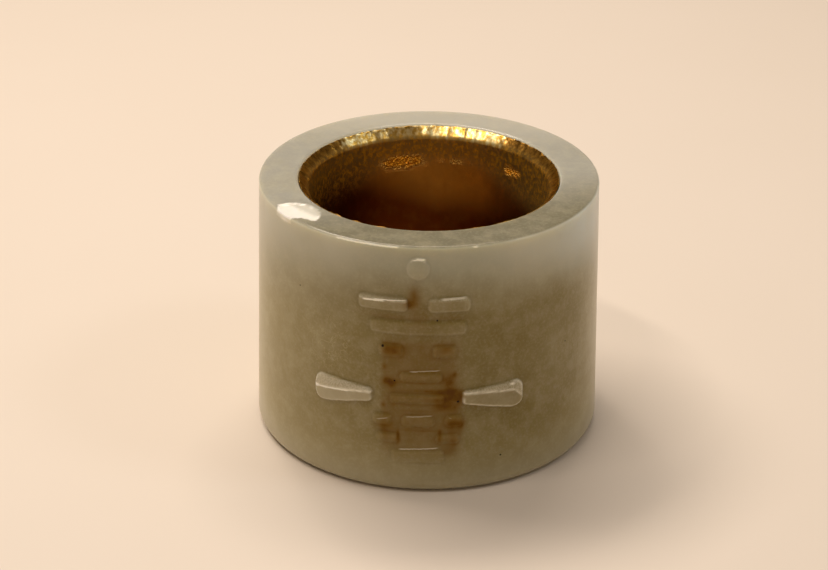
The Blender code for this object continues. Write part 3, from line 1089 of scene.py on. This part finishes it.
def damaged(recipe, at, body):
    """The chip's paler stone, its white patch with a little of it on the wall, and black specks."""
    body = recipe.blend(recipe.mark("chip") * CHIP_SHARE, body, JADE["chip"])
    spill = recipe.spot(at.along, at.up, *SPILL) * 0.7
    body = recipe.blend(recipe.mark("bruise") + spill * at.grit * 1.6, body, JADE["bruise"])
    specks = 0.0
    for centre, size in SPECKS:
        specks = recipe.spot(at.along, at.up, centre, (size, size)) + specks
    return recipe.blend(recipe.between(specks, 0.25, 0.75), body, JADE["speck"])


# %% Jade material: its roughness and coat, and the depths of its two bumps in millimetres
POLISHED_ROUGHNESS = 0.35
FROST_ROUGHNESS = 0.2
POLISH_SHARE = 0.5
FIBRE_DEPTH = 0.004
FROST_DEPTH = 0.06


def jade_material():
    """Cloudy jade with stain, frost, painted shade in the hollows and painted highlights."""
    recipe = Recipe(
        "jade",
        IOR=1.61,
        Specular_IOR_Level=0.04,
        Coat_IOR=1.61,
        Coat_Roughness=0.2,
        Subsurface_Weight=0.6,
        Subsurface_Radius=(0.0024, 0.0021, 0.0016),
        Subsurface_Scale=1.0,
    )
    at = jade_fields(recipe)
    stain = stain_share(recipe, at)
    frost = recipe.mark("frost")
    body = clouded(recipe, at, broad_tones(recipe, at))
    body = frosted(recipe, at, stained(recipe, stain, body))
    recipe.into("Base Color", damaged(recipe, at, body))
    recipe.into("Roughness", frost * FROST_ROUGHNESS + (at.wisps - 0.5) * 0.06 + POLISHED_ROUGHNESS)
    polish = (1.0 - frost * 0.6) * (1.0 - recipe.between(stain, 0.1, 0.9) * 0.85)
    recipe.into("Coat Weight", polish * POLISH_SHARE)
    soft = recipe.bump(at.fibres, FIBRE_DEPTH)
    recipe.into("Normal", recipe.bump(at.ground * frost, FROST_DEPTH, Normal=soft))
    return recipe.material


jade.data.materials.append(jade_material())
print("jade material:", len(jade.data.materials[0].node_tree.nodes), "nodes")

# %% [markdown]
# ## Gilding
# Gold takes its colour from what it reflects, and inside the hole that is mostly more gold, so the depths
# turn amber and brown. Deep in the bore the gold is also painted darker, as painted shade. What the nodes
# add is partly age and partly painted light and shade: speckled dust in a film under the lip, whose dark
# tone is also painted shade for the dark surroundings the lip reflects, upright scratches, stretches of
# the lip that are burnished and painted whiter where highlights fall, and small rough patches whose
# dimples catch the lamps, their gold painted orange to stand in for light bounced inside the sleeve. The
# dust isn't metal, so it lowers the metal's share where it lies.

# %% The gilding's colours
GILT = palette(
    # The burnished tones are partly burnishing and partly painted highlight; the dull tones are kept dark,
    # partly as painted shade.
    burnished=(255, 242, 184),
    burnished_streak=(220, 174, 78),
    dull=(160, 116, 48),
    dull_streak=(108, 76, 30),
    bore=(212, 174, 98),
    bore_deep=(104, 60, 24),
    haze=(150, 112, 50),
    # The dust tones are partly dust and partly painted shade.
    dust=(60, 38, 3),
    dust_fleck=(206, 150, 40),
    # The rough gold is painted orange, partly for the gilding and partly as painted reflection of light
    # bounced inside the sleeve.
    rough=(255, 172, 46),
)
STREAK_SIZE = 0.4
HAZE_SIZE = 1.4
FLECK_SIZE = 0.32
SCRATCH_SIZE = 0.3
DIMPLE_SIZE = 0.22
PIT_LEVEL = 20.7
WORN_FRONT = (-3.0, 4.0)
print("gilding colours:", len(GILT))


# %% The lip and the bore
def gilt_tones(recipe, streaks, haze, worn):
    """The lip's gold, rubbed and painted whiter in stretches or dull elsewhere, and the darker gold of the
    bore.
    """
    to_streak = recipe.between(streaks, 0.35, 0.6)
    bright = recipe.blend(to_streak, GILT["burnished"], GILT["burnished_streak"])
    dull = recipe.blend(recipe.between(streaks, 0.35, 0.65), GILT["dull"], GILT["dull_streak"])
    # Where the lip shines it is whiter, partly burnishing and partly painted highlight.
    gold = recipe.blend(recipe.mark("shine"), dull, bright)
    # Painted shade deep in the bore; the front of the bore, seen only in reflection, is left without it.
    bore = recipe.blend(recipe.mark("deep") * (1.0 - worn), GILT["bore"], GILT["bore_deep"])
    bore = recipe.blend(recipe.between(haze, 0.4, 0.75) * 0.25, bore, GILT["haze"])
    return recipe.blend(recipe.mark("lip"), bore, gold)


# %% Gilt material: how far the dust lowers the metal's share, and the bumps' depths in millimetres
DUST_SHARE = 0.55
SCRATCH_DEPTH = 0.004
DIMPLE_DEPTH = 0.75
DIMPLE_STRENGTH = 1.7
STREAK_DEPTH = 0.03


def gilt_material():
    """Beaten, rubbed gilding with painted highlights and shade, dirt under its lip, and a few rough patches.
    """
    recipe = Recipe("gilding", Specular_Tint=(1.0, 0.78, 0.5, 1.0))
    place = recipe.place()
    _, depth, up = recipe.axes(place)
    lip = recipe.mark("lip")
    pits = recipe.mark("pits")
    haze = recipe.noise(place, HAZE_SIZE, detail=6.0, roughness=0.65)
    streaks = recipe.noise(recipe.place((1.0, 1.0, 0.15)), STREAK_SIZE, detail=4.0)
    worn = recipe.between(0.0 - depth, *WORN_FRONT) * (1.0 - lip)
    body = gilt_tones(recipe, streaks, haze, worn)

    grain = recipe.noise(recipe.place((1.0, 1.0, 0.7)), FLECK_SIZE, detail=5.0, roughness=0.75)
    flecks = recipe.between(grain, 0.4, 0.62)
    # The film's dark tone is partly dust and partly painted shade.
    dust = recipe.mark("film") * (0.5 + flecks * 0.5) * (1.0 - pits)
    body = recipe.blend(dust, body, recipe.blend(flecks, GILT["dust"], GILT["dust_fleck"]))
    # The rough patches' orange is partly painted reflection of light bounced inside the sleeve.
    recipe.into("Base Color", recipe.blend(pits, body, GILT["rough"]))
    recipe.into("Metallic", 1.0 - dust * DUST_SHARE)
    rough = 0.2 + haze * 0.1 + streaks * 0.06 + (1.0 - lip) * 0.04 + worn * 0.14
    recipe.into("Roughness", rough + recipe.mark("shine") * lip * 0.06)

    scratches = recipe.noise(place, SCRATCH_SIZE, detail=4.0, roughness=0.6)
    fine = recipe.bump(scratches, SCRATCH_DEPTH)
    dimples = recipe.noise(place, DIMPLE_SIZE, detail=2.0, roughness=0.6) - 0.5
    dimples = dimples * DIMPLE_STRENGTH + (PIT_LEVEL - up) * 0.35
    coarse = recipe.bump(dimples * pits, DIMPLE_DEPTH, Normal=fine)
    recipe.into("Normal", recipe.bump(streaks * lip, STREAK_DEPTH, Normal=coarse))
    return recipe.material


lining.data.materials.append(gilt_material())
print("gilt material:", len(lining.data.materials[0].node_tree.nodes), "nodes")

# %% [markdown]
# ## The pieces ride on the model
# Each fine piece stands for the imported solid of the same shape, and moves with the ring's one body.

# %% Tie the pieces to the frame
for piece, node, slot in ((jade, "jade_ring", "jade"), (lining, "gold_lining", "gilt")):
    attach(piece, "root")
    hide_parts(node)

# %% [markdown]
# ## Floor
# A plain pale floor that curves up far away on all sides, like a photographer's sweep, so that no
# horizon shows from any side. It is one turned surface.

# %% Floor
FLOOR_FLAT = 420.0
FLOOR_BEND = 160.0
FLOOR_MIDDLE = ((120.0, 0.0), (0.01, 0.0))
FLOOR_COLUMNS = 96
FLOOR_CLOUD_SIZE = 30.0
FLOOR_LIGHT = shade(231, 219, 205)
FLOOR_DARK = shade(228, 216, 201)


def build_floor():
    """A pale disc with a rim that curves up, made from the outside in."""
    curve = arc((FLOOR_FLAT, FLOOR_BEND), (FLOOR_BEND, FLOOR_BEND), 0, -90, steps=16)
    section = np.concatenate([curve, FLOOR_MIDDLE])
    angles = np.linspace(0.0, 2.0 * math.pi, FLOOR_COLUMNS + 1)[:-1]
    floor = ring_object("floor", grid_points(*spread(section, angles)), {}, closed=False)
    recipe = Recipe("pale_floor", Roughness=0.55)
    tone = recipe.noise(recipe.place(), FLOOR_CLOUD_SIZE, detail=2.0)
    recipe.into("Base Color", recipe.blend(tone, FLOOR_LIGHT, FLOOR_DARK))
    floor.data.materials.append(recipe.material)


build_floor()

# %% [markdown]
# ## Light
# The picture's light comes from high up, behind the ring and to its left: the rim and the top bevels
# are bright, the front wall lies in its own shade, and the shadow falls to the front right. A large soft
# lamp at the back left and a second behind the middle do that. A narrow strip at the front left draws
# the thin glint along the rim's bevel, a weak cool lamp lifts the right side, and the sky fills the
# shade.

# %% Lamps and sky: each lamp's place and size in millimetres, its power in watts and its colour
WARM = (1.0, 0.88, 0.77)
COOL = (0.9, 0.95, 1.0)
SKY_COLOUR = (1.0, 0.86, 0.72, 1.0)
SKY_STRENGTH = 0.25
LAMP_AIM = (0.0, 0.0, 12.0)
LAMPS = (
    ("left_lamp", (-125.0, 105.0, 300.0), (180.0, 90.0), 0.61, WARM),
    ("middle_lamp", (-8.0, 140.0, 310.0), (150.0, 70.0), 0.33, WARM),
    ("front_strip", (-92.0, -96.0, 286.0), (110.0, 14.0), 0.17, WARM),
    ("right_lamp", (195.0, -33.0, 237.0), (60.0, 60.0), 0.07, COOL),
)


def add_lamp(name, place, size, power, colour):
    """A soft rectangular lamp that is turned towards the ring's middle."""
    data = bpy.data.lights.new(name, "AREA")
    data.shape = "RECTANGLE"
    data.size = size[0] * MM
    data.size_y = size[1] * MM
    data.energy = power
    data.color = colour
    lamp = bpy.data.objects.new(name, data)
    lamp.location = Vector(place) * MM
    lamp.rotation_mode = "QUATERNION"
    lamp.rotation_quaternion = (Vector(place) - Vector(LAMP_AIM)).to_track_quat("Z", "Y")
    lamp.visible_camera = False
    bpy.context.scene.collection.objects.link(lamp)


for lamp_values in LAMPS:
    add_lamp(*lamp_values)

sky = bpy.data.worlds.new("studio_sky")
sky.use_nodes = True
sky_inputs = sky.node_tree.nodes["Background"].inputs
sky_inputs["Color"].default_value = SKY_COLOUR
sky_inputs["Strength"].default_value = SKY_STRENGTH
bpy.context.scene.world = sky
bpy.context.scene.view_settings.view_transform = "Standard"
print("lamps:", len(LAMPS))

# %% [markdown]
# ## Camera
# The camera was worked out from the ring's outline in the picture: how round the rim looks gives the
# pitch, and how much the tube narrows towards its foot gives the distance and with it the lens.

# %% Camera
FOCAL_PIXELS = 2200.0
PICTURE_WIDTH = 828.0
SENSOR = 36.0
PITCH = 26.57
TURN = 3.5
ROLL = 0.424
DISTANCE = 205.87
SIDEWAYS = -1.3
UPWARDS = 0.72
AIM_HEIGHT = 12.0

camera = bpy.data.objects.new("camera", bpy.data.cameras.new("camera"))
camera.data.sensor_width = SENSOR
camera.data.lens = FOCAL_PIXELS / PICTURE_WIDTH * SENSOR
camera.data.clip_start = 0.01
camera.data.clip_end = 5.0
turned = Matrix.Rotation(math.radians(TURN), 4, "Z") @ Matrix.Rotation(math.radians(90.0 - PITCH), 4, "X")
turned = turned @ Matrix.Rotation(math.radians(ROLL), 4, "Z")
offset = turned.to_3x3() @ Vector((SIDEWAYS, UPWARDS, DISTANCE))
camera.matrix_world = Matrix.Translation((offset + Vector((0.0, 0.0, AIM_HEIGHT))) * MM) @ turned
bpy.context.scene.collection.objects.link(camera)
bpy.context.scene.camera = camera
print("camera at", [round(value, 4) for value in camera.matrix_world.translation])
